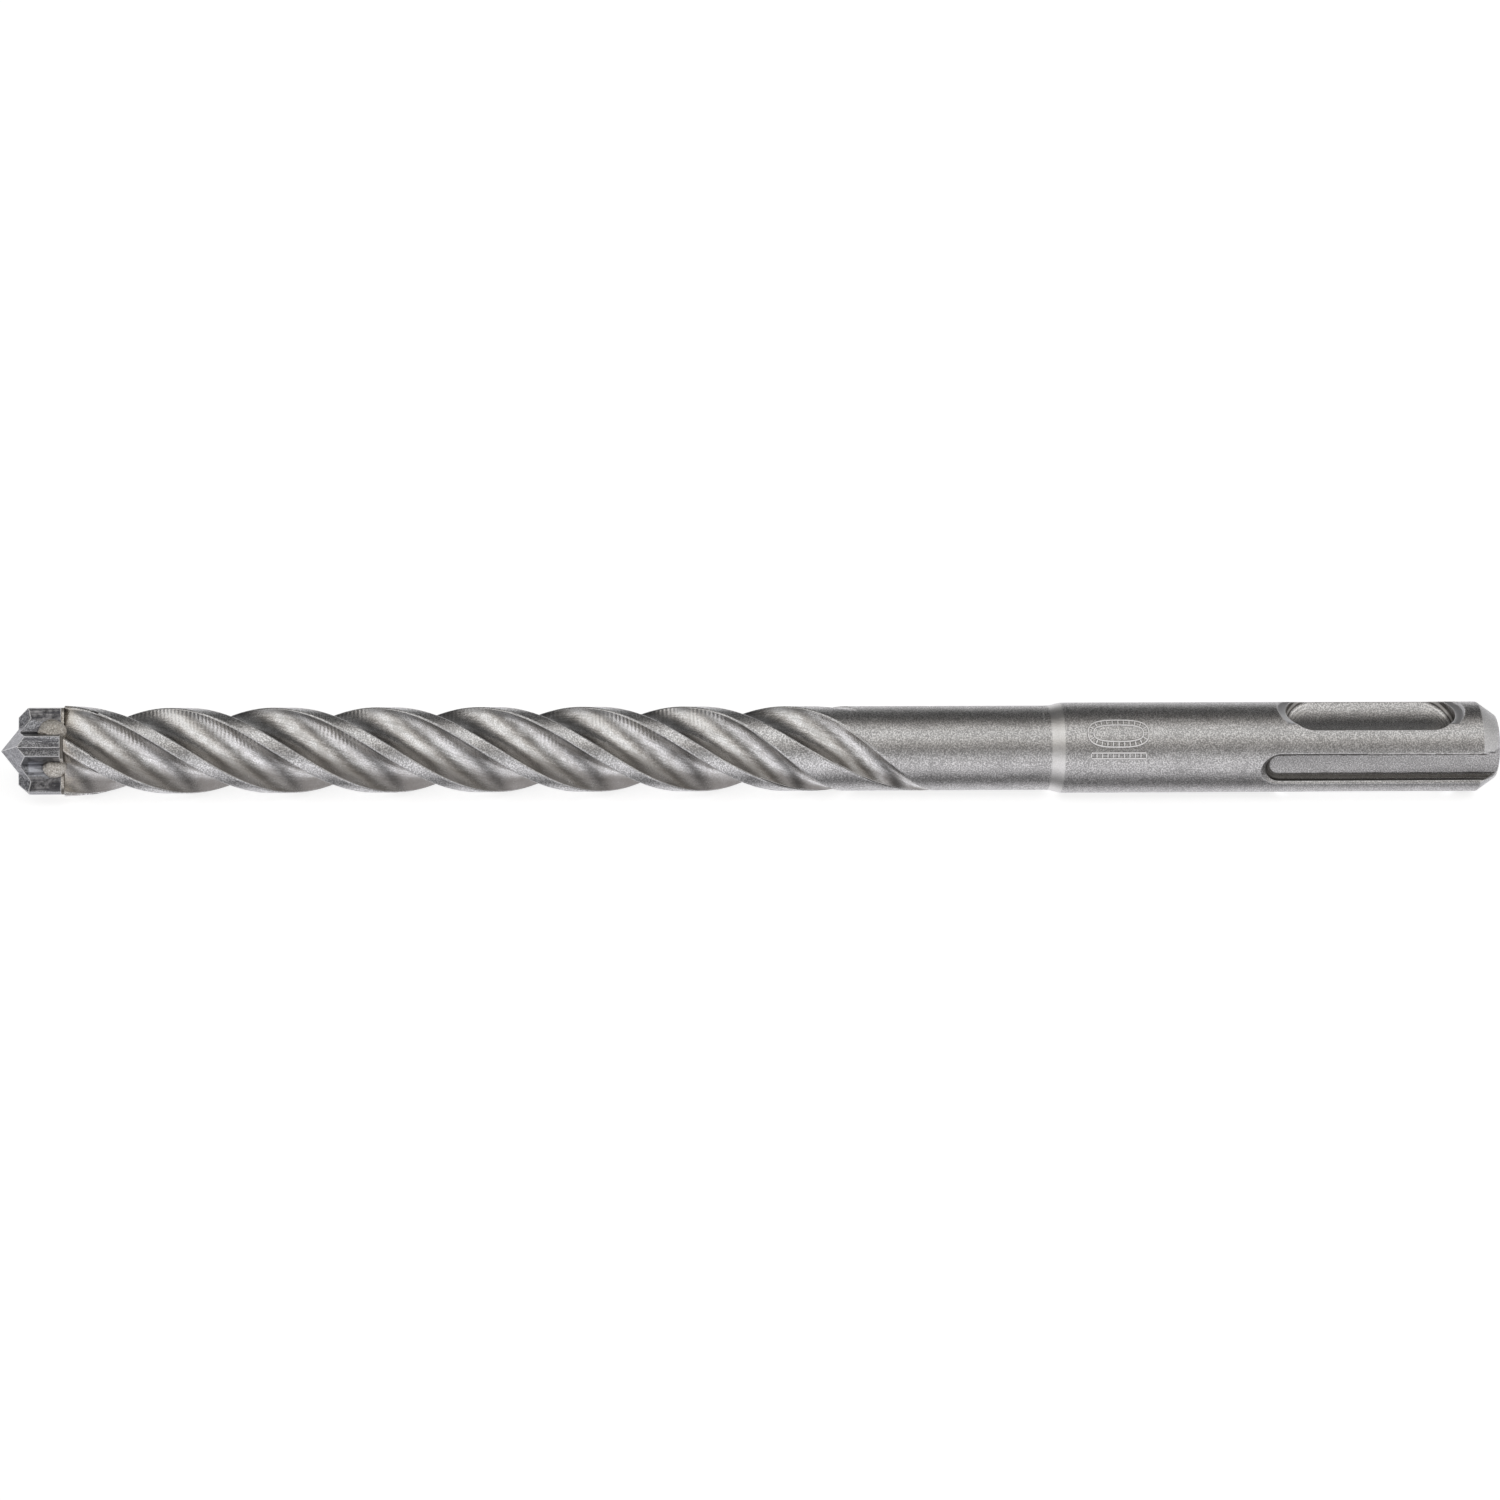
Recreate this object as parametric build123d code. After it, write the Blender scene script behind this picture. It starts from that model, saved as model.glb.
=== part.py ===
from build123d import *
from math import asin, cos, hypot, radians, sin, sqrt, tan
import os

# Drill bit for hammer drills: a forged and ground steel body with four
# right-hand flutes and a slotted shank, and a sintered carbide head brazed
# to its front. Millimetres. The bit lies along X with its tip towards -X,
# the shank resting on z = 0 and the middle of its length at the origin.

# Lengths along the bit
overall_length = 165.0
head_length = 6.55
braze_gap = 0.3
flute_end = 102.2            # tip to the last trace of the longer flutes
shank_length = 48.3
taper_length = 2.4

# Diameters of the steel body
shank_diameter = 10.0
neck_diameter = 9.34
seam_diameter = 9.9
seam_flare_length = 5.0
end_face_diameter = 7.1
end_chamfer_length = 2.08

# Four flutes, cut as a right-hand helix
flute_count = 4
flute_lead = 44.9
land_angle = 20.0            # width of each land, seen along the axis
land_lag = -3.0              # lands against the cutters at the seam
core_diameter = 5.3
runout_length = 15.0
runout_steps = 6
runout_drift = 14.0          # degrees that a flute leans over as it fades
runout_stagger = 8.8         # two opposite flutes fade earlier than the others

# Carbide head: two main cutters that carry the point and two side cutters
cutting_diameter = 10.2
side_cutter_diameter = 9.46
crown_radius = 4.6           # outer faces of the main cutters, backed off
cutter_thickness = 2.2
main_cutter_angle = 142.0    # about the axis, from +Y towards +Z
valley_distance = 2.55       # bottoms of the V-shaped valleys from the axis
valley_fillet = 0.35
point_angle = 138.0
point_gable_angle = 38.5     # slope of the point beside its crests
side_gable_angle = 45.0
side_setback = 1.9           # crests of the side cutters behind the point
side_chamfer_radial = 1.05
side_chamfer_length = 1.2
margin_share = 0.58          # part of a main cutter's width left unrelieved
margin_relief = 0.12
bead_radius = 1.25
bead_distance = 2.6          # centre of a braze bead from the axis
bead_lead = 0.9              # centre of a braze bead ahead of the steel

# Drive grooves, open at the end face
groove_width = 3.4
groove_floor = 3.6           # floor from the axis
groove_length = 26.4
groove_corner = 0.35
groove_edge = 0.18

# Locking pockets, closed at both ends, a quarter turn from the grooves
pocket_width = 5.96
pocket_floor = 2.8
pocket_length = 19.0
pocket_end_offset = 4.85
pocket_end_radius = 3.3
pocket_end_fillet = 1.0      # between the trough and its end walls
pocket_ledge = 1.0           # shallow crescent beyond each pocket end
pocket_ledge_floor = 4.42

axis_height = shank_diameter / 2
shank_radius = shank_diameter / 2
neck_radius = neck_diameter / 2
steel_start = head_length + braze_gap
shank_start = overall_length - shank_length
land_start_angle = main_cutter_angle + land_lag
overcut = 1.0


def section_plane(distance):
    """Plane across the bit at a distance from the tip, with its x along +Y."""
    return Plane((distance, 0, 0), x_dir=(0, 1, 0), z_dir=(1, 0, 0))


def turned(shape, angle):
    return Rot(angle, 0, 0) * shape


# Steel body

def body_blank():
    """Turned bar: flare at the seam, neck, taper up to the shank, end chamfer."""
    middle = shank_start - taper_length / 2
    with BuildPart() as blank:
        with BuildSketch(Plane.XY):
            with BuildLine():
                Polyline(
                    (shank_start - taper_length, neck_radius),
                    (steel_start + seam_flare_length, neck_radius),
                    (steel_start, seam_diameter / 2),
                    (steel_start, 0),
                    (overall_length, 0),
                    (overall_length, end_face_diameter / 2),
                    (overall_length - end_chamfer_length, shank_radius),
                    (shank_start, shank_radius),
                )
                Bezier(
                    (shank_start, shank_radius),
                    (middle, shank_radius),
                    (middle, neck_radius),
                    (shank_start - taper_length, neck_radius),
                )
            make_face()
        revolve(axis=Axis.X)
    return blank.part


def flute_profile():
    """Section of one flute along +x: a circular trough between two lands."""
    half_angle = radians(180 / flute_count - land_angle / 2)
    edge_x = neck_radius * cos(half_angle)
    edge_y = neck_radius * sin(half_angle)
    depth = edge_x - core_diameter / 2
    trough_radius = (edge_y**2 + depth**2) / (2 * depth)
    centre = core_diameter / 2 + trough_radius
    spread = asin(edge_y / trough_radius) + radians(12)
    corner_x = centre - trough_radius * cos(spread)
    corner_y = trough_radius * sin(spread)
    with BuildSketch() as profile:
        with BuildLine():
            ThreePointArc(
                (corner_x, -corner_y),
                (core_diameter / 2, 0),
                (corner_x, corner_y),
            )
            Polyline(
                (corner_x, corner_y),
                (neck_radius + overcut, corner_y),
                (neck_radius + overcut, -corner_y),
                (corner_x, -corner_y),
            )
        make_face()
    return profile.sketch


def flute_section(distance, lift=0.0, drift=0.0):
    """The flute's section at a distance from the tip, turned by the helix."""
    angle = 360 * (distance - steel_start) / flute_lead + drift
    raised = Rot(0, 0, angle) * Pos(lift, 0, 0) * flute_profile()
    return section_plane(distance) * raised


def flute_cutter(fade_end):
    """One flute: a helical trough, then a run-out that lifts clear of the bar."""
    start = steel_start - overcut
    fade_start = fade_end - runout_length
    path = Edge.make_line((start, 0, 0), (fade_start, 0, 0))
    guide = Edge.make_helix(
        pitch=flute_lead,
        height=fade_start - start,
        radius=neck_diameter,
        center=(start, 0, 0),
        normal=(1, 0, 0),
    )
    trough = sweep(flute_section(start), path=path, binormal=guide)
    full_lift = neck_radius - core_diameter / 2
    fades = []
    for step in range(runout_steps + 2):
        share = step / runout_steps
        lift = full_lift * share**1.15
        drift = runout_drift * share**2
        fades.append(flute_section(fade_start + runout_length * share, lift, drift))
    return trough + loft(fades)


def drive_groove():
    """Square-cornered groove along +Y, rounded at its inner end."""
    arc_centre = overall_length - groove_length + groove_width / 2
    run = groove_length + 2 * overcut - groove_width / 2
    plan = Pos(arc_centre, 0) * (
        Circle(groove_width / 2) + Rectangle(run, groove_width, align=(Align.MIN, Align.CENTER))
    )
    floor = Plane((0, groove_floor, 0), x_dir=(1, 0, 0), z_dir=(0, 1, 0))
    groove = extrude(floor * plan, amount=shank_radius - groove_floor + overcut)
    groove = chamfer(groove.faces().sort_by(Axis.Y)[0].edges(), groove_corner)
    rim = sqrt(shank_radius**2 - groove_width**2 / 4)
    outline = Plane((0, rim - groove_edge, 0), x_dir=(1, 0, 0), z_dir=(0, 1, 0)) * plan
    return groove + extrude(outline, amount=shank_radius - rim + 2 * groove_edge, taper=-45)


def pocket_outline(length, half_width, end_radius):
    """Plan of a pocket: straight sides and shallow arcs for ends."""
    bulge = end_radius - sqrt(end_radius**2 - half_width**2)
    straight = length / 2 - bulge
    with BuildSketch() as outline:
        with BuildLine():
            Line((-straight, half_width), (straight, half_width))
            ThreePointArc(
                (straight, half_width), (straight + bulge, 0), (straight, -half_width)
            )
            Line((straight, -half_width), (-straight, -half_width))
            ThreePointArc(
                (-straight, -half_width), (-straight - bulge, 0), (-straight, half_width)
            )
        make_face()
    return outline.sketch


def locking_pocket():
    """Trough with closed ends along +Z, and a shallow ledge beyond each end."""
    half_width = pocket_width / 2
    rim = sqrt(shank_radius**2 - half_width**2)
    depth = rim - pocket_floor
    trough_radius = (half_width**2 + depth**2) / (2 * depth)
    middle = overall_length - pocket_end_offset - pocket_length / 2
    plan = pocket_outline(pocket_length, half_width, pocket_end_radius)
    prism = Pos(middle, 0, 0) * extrude(plan, amount=shank_radius + overcut)
    trough = Pos(middle, 0, pocket_floor + trough_radius) * Cylinder(
        trough_radius, pocket_length, rotation=(0, 90, 0)
    )
    ledge_plan = pocket_outline(
        pocket_length + 2 * pocket_ledge, half_width, pocket_end_radius
    )
    ledge = Pos(middle, 0, pocket_ledge_floor) * extrude(ledge_plan, amount=overcut)
    pocket = prism & trough
    end_edges = pocket.edges().filter_by(lambda edge: abs(edge.center().Y) < 0.1)
    end_edges = end_edges.filter_by(lambda edge: edge.center().Z < pocket_floor + half_width)
    return fillet(end_edges, pocket_end_fillet), ledge


def steel_body():
    body = body_blank()
    trough_angle = land_start_angle + 180 / flute_count
    long_flute = flute_cutter(flute_end)
    short_flute = flute_cutter(flute_end - runout_stagger)
    for number in range(flute_count):
        cutter = short_flute if number % 2 else long_flute
        body -= turned(cutter, trough_angle + number * 360 / flute_count)
    groove = drive_groove()
    trough, ledge = locking_pocket()
    for side in (0, 180):
        body -= turned(groove, side)
        body -= turned(ledge, side)
        body -= turned(trough, side)
    return body


# Carbide head

def crown_corner(diameter, radius):
    """Distance from the axis to the corners of a crowned cutter face."""
    centre = diameter / 2 - radius
    return centre + sqrt(radius**2 - cutter_thickness**2 / 4)


def cross_section(main_diameter, side_diameter):
    """Four lobes with crowned ends, the main ones along x, and V-shaped valleys."""
    half = cutter_thickness / 2
    main_corner = crown_corner(main_diameter, crown_radius)
    side_corner = crown_corner(side_diameter, side_diameter / 2)
    valley = valley_distance / sqrt(2)
    with BuildSketch() as cross:
        with BuildLine():
            for side in (1, -1):
                ThreePointArc(
                    (side * main_corner, -half),
                    (side * main_diameter / 2, 0),
                    (side * main_corner, half),
                )
                ThreePointArc(
                    (-half, side * side_corner),
                    (0, side * side_diameter / 2),
                    (half, side * side_corner),
                )
                for way in (1, -1):
                    Polyline(
                        (side * main_corner, way * half),
                        (side * valley, way * valley),
                        (side * half, way * side_corner),
                    )
        make_face()
        fillet(cross.vertices().group_by(lambda v: round(hypot(v.X, v.Y), 3))[0], valley_fillet)
    return cross.sketch


def pyramid_point():
    """Flat four-sided pyramid whose long edges are the main cutting crests."""
    height = head_length + overcut
    reach_main = height * tan(radians(point_angle / 2))
    reach_side = height / tan(radians(point_gable_angle))
    base = section_plane(height) * Polygon(
        (reach_main, 0), (0, reach_side), (-reach_main, 0), (0, -reach_side), align=None
    )
    return loft([base, Vertex(0, 0, 0)])


def side_roof():
    """Gabled bar for the two lower cutters, with chamfered outer corners."""
    half_length = side_cutter_diameter / 2 + overcut
    half_width = head_length - side_setback
    chamfer_start = side_cutter_diameter / 2 - side_chamfer_radial
    chamfer_slope = side_chamfer_length / side_chamfer_radial
    with BuildPart() as gable:
        with BuildSketch(Plane((0, 0, 0), x_dir=(1, 0, 0), z_dir=(0, 0, 1))):
            Polygon(
                (side_setback, 0),
                (side_setback + half_width * tan(radians(side_gable_angle)), half_width),
                (side_setback + half_width * tan(radians(side_gable_angle)), -half_width),
                align=None,
            )
        extrude(amount=half_length, both=True)
    with BuildPart() as bar:
        with BuildSketch(Plane.XZ):
            Polygon(
                (side_setback, chamfer_start),
                (side_setback, -chamfer_start),
                (side_setback + chamfer_slope * (half_length - chamfer_start), -half_length),
                (head_length + overcut, -half_length),
                (head_length + overcut, half_length),
                (side_setback + chamfer_slope * (half_length - chamfer_start), half_length),
                align=None,
            )
        extrude(amount=half_length, both=True)
    return gable.part & bar.part


def margin_cut():
    """Shallow relief on the trailing part of a main cutter's outer face."""
    relief_width = cutter_thickness * (1 - margin_share)
    middle = -cutter_thickness / 2 + relief_width / 2
    return Pos(head_length / 2, cutting_diameter / 2, -middle) * Box(
        head_length + overcut, 2 * margin_relief, relief_width
    )


def carbide_head():
    cross = section_plane(0) * cross_section(cutting_diameter, side_cutter_diameter)
    blank = extrude(cross, amount=head_length)
    head = blank & (pyramid_point() + side_roof())
    for side in (0, 180):
        head -= turned(margin_cut(), side)
    return turned(head, main_cutter_angle)


# Braze between the two, with a bead left in each valley

def braze_joint(head, body):
    cross = cross_section(seam_diameter, side_cutter_diameter)
    layer = extrude(section_plane(head_length) * cross, amount=braze_gap)
    joint = turned(layer, main_cutter_angle)
    for number in range(4):
        bead = Pos(steel_start - bead_lead, bead_distance, 0) * Sphere(bead_radius)
        joint += turned(bead, main_cutter_angle + 45 + number * 90)
    return joint - head - body


def placed(shape):
    return Pos(-overall_length / 2, 0, axis_height) * shape


os.makedirs("parts", exist_ok=True)
body = steel_body()
head = carbide_head()
braze = braze_joint(head, body)
export_step(placed(body), "parts/steel_body.step")
export_step(placed(head), "parts/carbide_head.step")
export_step(placed(braze), "parts/braze_joint.step")
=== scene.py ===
import bmesh
import bpy
from math import cos, pi, radians, sin, sqrt
from mathutils import Matrix, Vector, noise


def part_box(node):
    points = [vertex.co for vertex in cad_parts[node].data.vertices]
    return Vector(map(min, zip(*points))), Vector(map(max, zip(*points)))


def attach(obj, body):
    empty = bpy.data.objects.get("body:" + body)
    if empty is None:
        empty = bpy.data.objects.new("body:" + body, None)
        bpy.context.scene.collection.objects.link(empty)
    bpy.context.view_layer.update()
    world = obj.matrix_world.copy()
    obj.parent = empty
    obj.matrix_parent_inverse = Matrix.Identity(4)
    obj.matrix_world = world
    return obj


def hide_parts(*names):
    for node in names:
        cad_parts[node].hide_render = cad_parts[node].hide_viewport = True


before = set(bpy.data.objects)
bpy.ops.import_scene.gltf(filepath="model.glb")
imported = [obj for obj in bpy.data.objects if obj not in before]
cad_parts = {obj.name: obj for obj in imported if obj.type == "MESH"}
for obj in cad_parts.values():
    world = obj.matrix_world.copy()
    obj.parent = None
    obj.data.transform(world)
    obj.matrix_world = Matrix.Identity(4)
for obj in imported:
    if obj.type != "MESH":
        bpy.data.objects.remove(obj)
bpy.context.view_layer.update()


# Fluted bar
# The front two thirds of one bar of hardened alloy steel. Four right-hand
# flutes are milled into it and fade out in pairs, and the whole bar is then
# grit blasted, which leaves the lands dull and the flutes with a sheen.

mm = 0.001
body_low, body_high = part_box("steel_body")
axis_height = (body_low.z + body_high.z) / 2
shank_end = body_high.x
bit_length = 165 * mm
tip_x = shank_end - bit_length
neck_end = tip_x + 114.2 * mm
neck_radius = 4.67 * mm
lead = 44.9 * mm
weld_distance = 0.002 * mm


def feed(tree, made, feeds):
    """Link or set a node's inputs, by name or number."""
    for key, value in feeds.items():
        if isinstance(value, bpy.types.NodeSocket):
            tree.links.new(value, made.inputs[key])
        else:
            made.inputs[key].default_value = value


def node(tree, kind, feeds=None, **settings):
    """Add a node, set its properties and feed its inputs."""
    made = tree.nodes.new(kind)
    for name, value in settings.items():
        setattr(made, name, value)
    feed(tree, made, feeds or {})
    return made


def math(tree, operation, *values, clamp=False):
    """One Math node; returns its output."""
    feeds = dict(enumerate(values))
    return node(tree, "ShaderNodeMath", feeds, operation=operation, use_clamp=clamp).outputs[0]


def vector(tree, operation, *vectors):
    """One Vector Math node; returns its vector output."""
    feeds = dict(enumerate(vectors))
    return node(tree, "ShaderNodeVectorMath", feeds, operation=operation).outputs["Vector"]


def times(tree, first, *others):
    """Product of two or more values."""
    for other in others:
        first = math(tree, "MULTIPLY", first, other)
    return first


def plus(tree, first, second):
    return math(tree, "ADD", first, second)


def minus(tree, first, second):
    return math(tree, "SUBTRACT", first, second)


def square(tree, value):
    return times(tree, value, value)


def mix(tree, share, first, second):
    """Number between two others; returns its output."""
    return math(tree, "MULTIPLY_ADD", share, minus(tree, second, first), first)


def parts_of(tree, vector):
    """X, Y and Z outputs of a vector."""
    return node(tree, "ShaderNodeSeparateXYZ", {0: vector}).outputs


def joined(tree, x, y, z):
    """Vector output from three values."""
    return node(tree, "ShaderNodeCombineXYZ", {0: x, 1: y, 2: z}).outputs[0]


def clouds(tree, place, scale, detail, roughness=0.5):
    """Noise from 0 to 1."""
    feeds = {"Vector": place, "Scale": scale, "Detail": detail, "Roughness": roughness}
    return node(tree, "ShaderNodeTexNoise", feeds).outputs[0]


def crowd_ends(tree, value):
    """Bend -1..1 so that steps are shorter towards both ends."""
    bent = math(tree, "SINE", times(tree, value, pi / 2))
    return times(tree, plus(tree, value, bent), 0.5)


def flute_fade(tree, given, along, fade_end):
    """How one pair of flutes lies at each station: depth, drift and widths."""
    start = minus(tree, fade_end, given["Fade Length"])
    share = math(tree, "DIVIDE", minus(tree, along, start), given["Fade Length"])
    share = math(tree, "MINIMUM", math(tree, "MAXIMUM", share, 0.0), 1.15)
    lift = times(tree, math(tree, "POWER", share, 1.15), given["Full Lift"])
    centre = plus(tree, given["Trough Centre"], lift)
    drift = times(tree, share, share, given["Fade Drift"])
    land = square(tree, given["Bar Radius"])
    trough = square(tree, given["Trough Radius"])
    out = square(tree, centre)
    around = math(tree, "DIVIDE", minus(tree, plus(tree, land, out), trough),
                  times(tree, given["Bar Radius"], centre, 2.0))
    around = math(tree, "ARCCOSINE", math(tree, "MINIMUM", around, 1.0))
    inside = math(tree, "DIVIDE", minus(tree, plus(tree, trough, out), land),
                  times(tree, given["Trough Radius"], centre, 2.0))
    inside = math(tree, "ARCCOSINE", math(tree, "MINIMUM", inside, 1.0))
    return {"centre": centre, "drift": drift, "around": around, "inside": inside,
            "half": math(tree, "MAXIMUM", around, radians(8))}


def geometry_tree(name, inputs):
    """Geometry Nodes tree with its inputs, named by kind, and one output."""
    tree = bpy.data.node_groups.new(name, "GeometryNodeTree")
    for kind, sockets in inputs.items():
        for socket in sockets:
            tree.interface.new_socket(socket, in_out="INPUT", socket_type="NodeSocket" + kind)
    tree.interface.new_socket("Geometry", in_out="OUTPUT", socket_type="NodeSocketGeometry")
    return tree, tree.nodes.new("NodeGroupInput").outputs


def step_on(tree, kind, geometry, **feeds):
    """One geometry node after another; returns its geometry."""
    feeds = {name.replace("_", " "): value for name, value in feeds.items()}
    return node(tree, "GeometryNode" + kind, {0: geometry, **feeds}).outputs[0]


def hand_over(tree, geometry, finish, mark=None):
    """Last steps of a tree: real, smooth, marked if a name is given, and dressed."""
    geometry = step_on(tree, "RealizeInstances", geometry)
    geometry = step_on(tree, "SetShadeSmooth", geometry)
    if mark:
        geometry = step_on(tree, "StoreNamedAttribute", geometry, Name=mark, Value=1.0)
    geometry = step_on(tree, "SetMaterial", geometry, Material=finish)
    tree.links.new(geometry, tree.nodes.new("NodeGroupOutput").inputs["Geometry"])


def fluted_bar_tree(rings, columns_a_flute, land_columns):
    """Grid wrapped round the axis; its columns follow the flutes' edges."""
    tree, given = geometry_tree("helical_flutes", {
        "Float": ("Start", "End", "Bar Radius", "Flare Radius", "Flare Length", "Axis Height",
                  "Trough Centre", "Trough Radius", "Full Lift", "Lead", "First Angle",
                  "Long Fade End", "Short Fade End", "Fade Length", "Fade Drift", "Waviness"),
        "Material": ("Finish",),
    })

    quarter = columns_a_flute + land_columns
    grid = node(tree, "GeometryNodeMeshGrid", {
        "Size X": 1.0, "Size Y": 1.0, "Vertices X": rings, "Vertices Y": 4 * quarter + 1,
    }).outputs["Mesh"]
    place = parts_of(tree, tree.nodes.new("GeometryNodeInputPosition").outputs[0])
    ring = math(tree, "ROUND", times(tree, plus(tree, place[0], 0.5), rings - 1.0))
    column = math(tree, "ROUND", times(tree, plus(tree, place[1], 0.5), 4.0 * quarter))

    # Rings 0 and last close the ends; the others share out the length
    share = math(tree, "DIVIDE", minus(tree, ring, 1.0), rings - 3.0, clamp=True)
    along = mix(tree, share, given["Start"], given["End"])
    open_ring = times(tree, math(tree, "GREATER_THAN", ring, 0.5),
                      math(tree, "LESS_THAN", ring, rings - 1.5))

    flute = math(tree, "FLOOR", math(tree, "DIVIDE", plus(tree, column, 0.25), float(quarter)))
    step = minus(tree, column, times(tree, flute, float(quarter)))
    odd = math(tree, "MODULO", flute, 2.0)
    long_pair = flute_fade(tree, given, along, given["Long Fade End"])
    short_pair = flute_fade(tree, given, along, given["Short Fade End"])
    own = {key: mix(tree, odd, long_pair[key], short_pair[key]) for key in long_pair}
    after = {key: mix(tree, odd, short_pair[key], long_pair[key]) for key in long_pair}

    across = minus(tree, math(tree, "DIVIDE", step, columns_a_flute / 2), 1.0)
    across = crowd_ends(tree, math(tree, "MINIMUM", across, 1.0))
    leaning = times(tree, across, own["inside"])
    sideways = times(tree, given["Trough Radius"], math(tree, "SINE", leaning))
    outward = times(tree, given["Trough Radius"], math(tree, "COSINE", leaning))
    outward = minus(tree, own["centre"], outward)
    widening = times(tree, across, minus(tree, own["half"], own["around"]))
    off_middle = plus(tree, math(tree, "ARCTAN2", sideways, outward), widening)
    chord = times(tree, own["centre"], math(tree, "SINE", off_middle))
    reach = minus(tree, square(tree, given["Trough Radius"]), square(tree, chord))
    depth = minus(tree, times(tree, own["centre"], math(tree, "COSINE", off_middle)),
                  math(tree, "SQRT", math(tree, "MAXIMUM", reach, 0.0)))

    from_start = minus(tree, along, given["Start"])
    flare = math(tree, "DIVIDE", from_start, given["Flare Length"], clamp=True)
    land = mix(tree, flare, given["Flare Radius"], given["Bar Radius"])
    over_land = minus(tree, step, float(columns_a_flute))
    over_land = math(tree, "DIVIDE", over_land, float(land_columns), clamp=True)
    over_land = crowd_ends(tree, math(tree, "MULTIPLY_ADD", over_land, 2.0, -1.0))
    over_land = math(tree, "MULTIPLY_ADD", over_land, 0.5, 0.5)
    land_from = plus(tree, own["half"], own["drift"])
    land_to = minus(tree, plus(tree, after["drift"], pi / 2), after["half"])
    on_land = math(tree, "GREATER_THAN", step, columns_a_flute + 0.5)
    land_angle_here = mix(tree, over_land, land_from, land_to)
    angle = mix(tree, on_land, plus(tree, off_middle, own["drift"]), land_angle_here)
    angle = plus(tree, angle, math(tree, "MULTIPLY_ADD", flute, pi / 2, given["First Angle"]))
    twist = times(tree, math(tree, "DIVIDE", from_start, given["Lead"]), 2 * pi)

    inside_rims = math(tree, "LESS_THAN", math(tree, "ABSOLUTE", across), 0.999)
    below_skin = math(tree, "LESS_THAN", depth, land)
    cut = times(tree, minus(tree, 1.0, on_land), below_skin)
    radius = mix(tree, cut, land, depth)
    cut = times(tree, cut, inside_rims)

    # Milling leaves the flutes faintly wavy along their run
    straight = joined(tree, times(tree, along, 0.3),
                      times(tree, radius, math(tree, "COSINE", angle)),
                      times(tree, radius, math(tree, "SINE", angle)))
    waves = minus(tree, clouds(tree, straight, 520.0, 2.0), 0.5)
    waves = times(tree, waves, given["Waviness"], cut)
    turned = plus(tree, angle, twist)
    radius = times(tree, plus(tree, radius, waves), open_ring)
    spot = joined(tree, along,
                  times(tree, radius, math(tree, "COSINE", turned)),
                  math(tree, "MULTIPLY_ADD", radius, math(tree, "SINE", turned),
                       given["Axis Height"]))

    bar = step_on(tree, "StoreNamedAttribute", grid, Name="in_flute", Value=cut)
    side = times(tree, cut, across)
    bar = step_on(tree, "StoreNamedAttribute", bar, Name="flute_side", Value=side)
    bar = step_on(tree, "SetPosition", bar, Position=spot)
    bar = step_on(tree, "MergeByDistance", bar, Distance=weld_distance)
    bar = step_on(tree, "FlipFaces", bar)
    hand_over(tree, bar, given["Finish"])
    return tree


def empty_object(name):
    made = bpy.data.objects.new(name, bpy.data.meshes.new(name))
    bpy.context.scene.collection.objects.link(made)
    return made


def grow(name, tree, inputs):
    """Object whose mesh is what a Geometry Nodes tree makes of its inputs."""
    made = empty_object(name)
    modifier = made.modifiers.new(name, "NODES")
    modifier.node_group = tree
    for item in tree.interface.items_tree:
        if item.in_out == "INPUT" and item.name in inputs:
            modifier[item.identifier] = inputs[item.name]
    return made


def bake(made, sharp_angle):
    """Turn live modifiers into a plain mesh, smooth but for its sharp edges."""
    view = bpy.context.evaluated_depsgraph_get()
    baked = bpy.data.meshes.new_from_object(made.evaluated_get(view))
    made.modifiers.clear()
    unused = made.data
    made.data = baked
    baked.name = made.name
    bpy.data.meshes.remove(unused)
    baked.shade_smooth()
    baked.set_sharp_from_angle(angle=sharp_angle)
    return made


def soften_edges(made, width, limit, edge_material=0):
    """Rounded edges, as blasting leaves them, with the faces beside them flat."""
    bevel = made.modifiers.new("worn", "BEVEL")
    bevel.width = width
    bevel.segments = 2
    bevel.limit_method = "ANGLE"
    bevel.angle_limit = limit
    bevel.use_clamp_overlap = False
    bevel.material = edge_material
    weight = made.modifiers.new("even", "WEIGHTED_NORMAL")
    weight.keep_sharp = True


def new_group(name, inputs, outputs):
    """Empty shader node group with named sockets."""
    group = bpy.data.node_groups.new(name, "ShaderNodeTree")
    for socket, kind, value in inputs:
        made = group.interface.new_socket(socket, in_out="INPUT", socket_type=kind)
        if value is not None:
            made.default_value = value
    for socket, kind in outputs:
        group.interface.new_socket(socket, in_out="OUTPUT", socket_type=kind)
    source = group.nodes.new("NodeGroupInput")
    sink = group.nodes.new("NodeGroupOutput")
    return group, source.outputs, sink.inputs


def ramp(tree, value, low, high):
    """0 at low, 1 at high, smooth between; returns its output."""
    feeds = {"Value": value, "From Min": low, "From Max": high}
    made = node(tree, "ShaderNodeMapRange", feeds, interpolation_type="SMOOTHSTEP")
    return made.outputs["Result"]


def mix_colour(tree, share, first, second):
    made = node(tree, "ShaderNodeMix", {"Factor": share}, data_type="RGBA")
    for socket, value in (("A_Color", first), ("B_Color", second)):
        target = next(s for s in made.inputs if s.identifier == socket)
        if isinstance(value, bpy.types.NodeSocket):
            tree.links.new(value, target)
        else:
            target.default_value = (*value, 1)
    return next(s for s in made.outputs if s.identifier == "Result_Color")


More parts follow.
